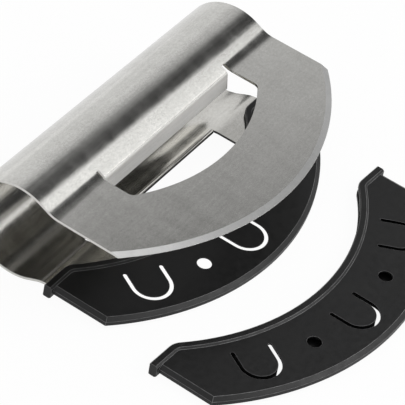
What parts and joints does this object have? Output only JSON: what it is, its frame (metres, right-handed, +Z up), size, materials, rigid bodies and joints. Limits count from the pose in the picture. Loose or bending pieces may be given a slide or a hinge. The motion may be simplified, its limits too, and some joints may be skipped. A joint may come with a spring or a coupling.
{
  "type": "mezzaluna",
  "caption": "Double-bladed rocking herb knife bent from sheet steel, with a tubular handle and slip-on plastic blade guards held by spring tongues.",
  "frame": {"origin": "middle of the bottom of the bounding box of the whole layout, on the table", "axes": "+X along the handle to the right, +Y from the cutting edges towards the handle, +Z up from the table"},
  "size_m": [0.1787, 0.1694, 0.0488],
  "materials": {
    "steel": "satin, bevel ground brighter",
    "guard_plastic": "satin moulded"
  },
  "bodies": {
    "fitted_guard": {"guard_fitted": "guard_plastic"},
    "knife": {"knife_body": "steel"},
    "spare_guard": {"guard_spare": "guard_plastic"},
    "fitted_upper_tongue_middle": {"fitted_upper_tongue_middle": "guard_plastic"},
    "fitted_upper_tongue_left": {"fitted_upper_tongue_left": "guard_plastic"},
    "fitted_upper_tongue_right": {"fitted_upper_tongue_right": "guard_plastic"},
    "fitted_lower_tongue_left": {"fitted_lower_tongue_left": "guard_plastic"},
    "fitted_lower_tongue_middle": {"fitted_lower_tongue_middle": "guard_plastic"},
    "fitted_lower_tongue_right": {"fitted_lower_tongue_right": "guard_plastic"},
    "spare_upper_tongue_middle": {"spare_upper_tongue_middle": "guard_plastic"},
    "spare_upper_tongue_left": {"spare_upper_tongue_left": "guard_plastic"},
    "spare_upper_tongue_right": {"spare_upper_tongue_right": "guard_plastic"},
    "spare_lower_tongue_left": {"spare_lower_tongue_left": "guard_plastic"},
    "spare_lower_tongue_middle": {"spare_lower_tongue_middle": "guard_plastic"},
    "spare_lower_tongue_right": {"spare_lower_tongue_right": "guard_plastic"}
  },
  "joints": [
    {"name": "knife_draw", "type": "slide", "parent": "fitted_guard", "child": "knife", "axis": [0, 0.9991, 0.0434], "range_m": [0, 0.05]},
    {"name": "spare_lift", "type": "slide", "parent": "fitted_guard", "child": "spare_guard", "axis": [0, 0, 1], "range_m": [0, 0.04]},
    {"name": "fitted_upper_middle_flex", "type": "hinge", "parent": "fitted_guard", "child": "fitted_upper_tongue_middle", "pos_m": [0.00353, 0.00256, 0.00577], "axis": [-1, 0, 0], "range_deg": [0, 2.5], "stiffness_Nm_per_rad": 0.5},
    {"name": "fitted_upper_left_flex", "type": "hinge", "parent": "fitted_guard", "child": "fitted_upper_tongue_left", "pos_m": [-0.04611, 0.01539, 0.00633], "axis": [-0.8746, 0.4844, 0.0211], "range_deg": [0, 2.5], "stiffness_Nm_per_rad": 0.5},
    {"name": "fitted_upper_right_flex", "type": "hinge", "parent": "fitted_guard", "child": "fitted_upper_tongue_right", "pos_m": [0.05316, 0.01539, 0.00633], "axis": [-0.8746, -0.4844, -0.0211], "range_deg": [0, 2.5], "stiffness_Nm_per_rad": 0.5},
    {"name": "fitted_lower_left_flex", "type": "hinge", "parent": "fitted_guard", "child": "fitted_lower_tongue_left", "pos_m": [-0.04611, 0.01559, 0.00153], "axis": [0.8746, -0.4844, -0.0211], "range_deg": [0, 2.5], "stiffness_Nm_per_rad": 0.5},
    {"name": "fitted_lower_middle_flex", "type": "hinge", "parent": "fitted_guard", "child": "fitted_lower_tongue_middle", "pos_m": [0.00353, 0.00277, 0.00098], "axis": [1, 0, 0], "range_deg": [0, 2.5], "stiffness_Nm_per_rad": 0.5},
    {"name": "fitted_lower_right_flex", "type": "hinge", "parent": "fitted_guard", "child": "fitted_lower_tongue_right", "pos_m": [0.05316, 0.01559, 0.00153], "axis": [0.8746, 0.4844, 0.0211], "range_deg": [0, 2.5], "stiffness_Nm_per_rad": 0.5},
    {"name": "spare_upper_middle_flex", "type": "hinge", "parent": "spare_guard", "child": "spare_upper_tongue_middle", "pos_m": [-0.00529, -0.06014, 0.00555], "axis": [-0.9989, 0.0471, 0], "range_deg": [0, 2.5], "stiffness_Nm_per_rad": 0.5},
    {"name": "spare_upper_left_flex", "type": "hinge", "parent": "spare_guard", "child": "spare_upper_tongue_left", "pos_m": [-0.05427, -0.04498, 0.00555], "axis": [-0.8508, 0.5255, 0], "range_deg": [0, 2.5], "stiffness_Nm_per_rad": 0.5},
    {"name": "spare_upper_right_flex", "type": "hinge", "parent": "spare_guard", "child": "spare_upper_tongue_right", "pos_m": [0.04489, -0.04965, 0.00555], "axis": [-0.8965, -0.4431, 0], "range_deg": [0, 2.5], "stiffness_Nm_per_rad": 0.5},
    {"name": "spare_lower_left_flex", "type": "hinge", "parent": "spare_guard", "child": "spare_lower_tongue_left", "pos_m": [-0.05427, -0.04498, 0.00075], "axis": [0.8508, -0.5255, 0], "range_deg": [0, 2.5], "stiffness_Nm_per_rad": 0.5},
    {"name": "spare_lower_middle_flex", "type": "hinge", "parent": "spare_guard", "child": "spare_lower_tongue_middle", "pos_m": [-0.00529, -0.06014, 0.00075], "axis": [0.9989, -0.0471, 0], "range_deg": [0, 2.5], "stiffness_Nm_per_rad": 0.5},
    {"name": "spare_lower_right_flex", "type": "hinge", "parent": "spare_guard", "child": "spare_lower_tongue_right", "pos_m": [0.04489, -0.04965, 0.00075], "axis": [0.8965, 0.4431, 0], "range_deg": [0, 2.5], "stiffness_Nm_per_rad": 0.5}
  ],
  "couplings": [
    {"joint": "fitted_upper_left_flex", "follows": "fitted_upper_middle_flex", "ratio": 1},
    {"joint": "fitted_upper_right_flex", "follows": "fitted_upper_middle_flex", "ratio": 1},
    {"joint": "fitted_lower_left_flex", "follows": "fitted_upper_middle_flex", "ratio": 1},
    {"joint": "fitted_lower_middle_flex", "follows": "fitted_upper_middle_flex", "ratio": 1},
    {"joint": "fitted_lower_right_flex", "follows": "fitted_upper_middle_flex", "ratio": 1},
    {"joint": "spare_upper_left_flex", "follows": "spare_upper_middle_flex", "ratio": 1},
    {"joint": "spare_upper_right_flex", "follows": "spare_upper_middle_flex", "ratio": 1},
    {"joint": "spare_lower_left_flex", "follows": "spare_upper_middle_flex", "ratio": 1},
    {"joint": "spare_lower_middle_flex", "follows": "spare_upper_middle_flex", "ratio": 1},
    {"joint": "spare_lower_right_flex", "follows": "spare_upper_middle_flex", "ratio": 1}
  ]
}
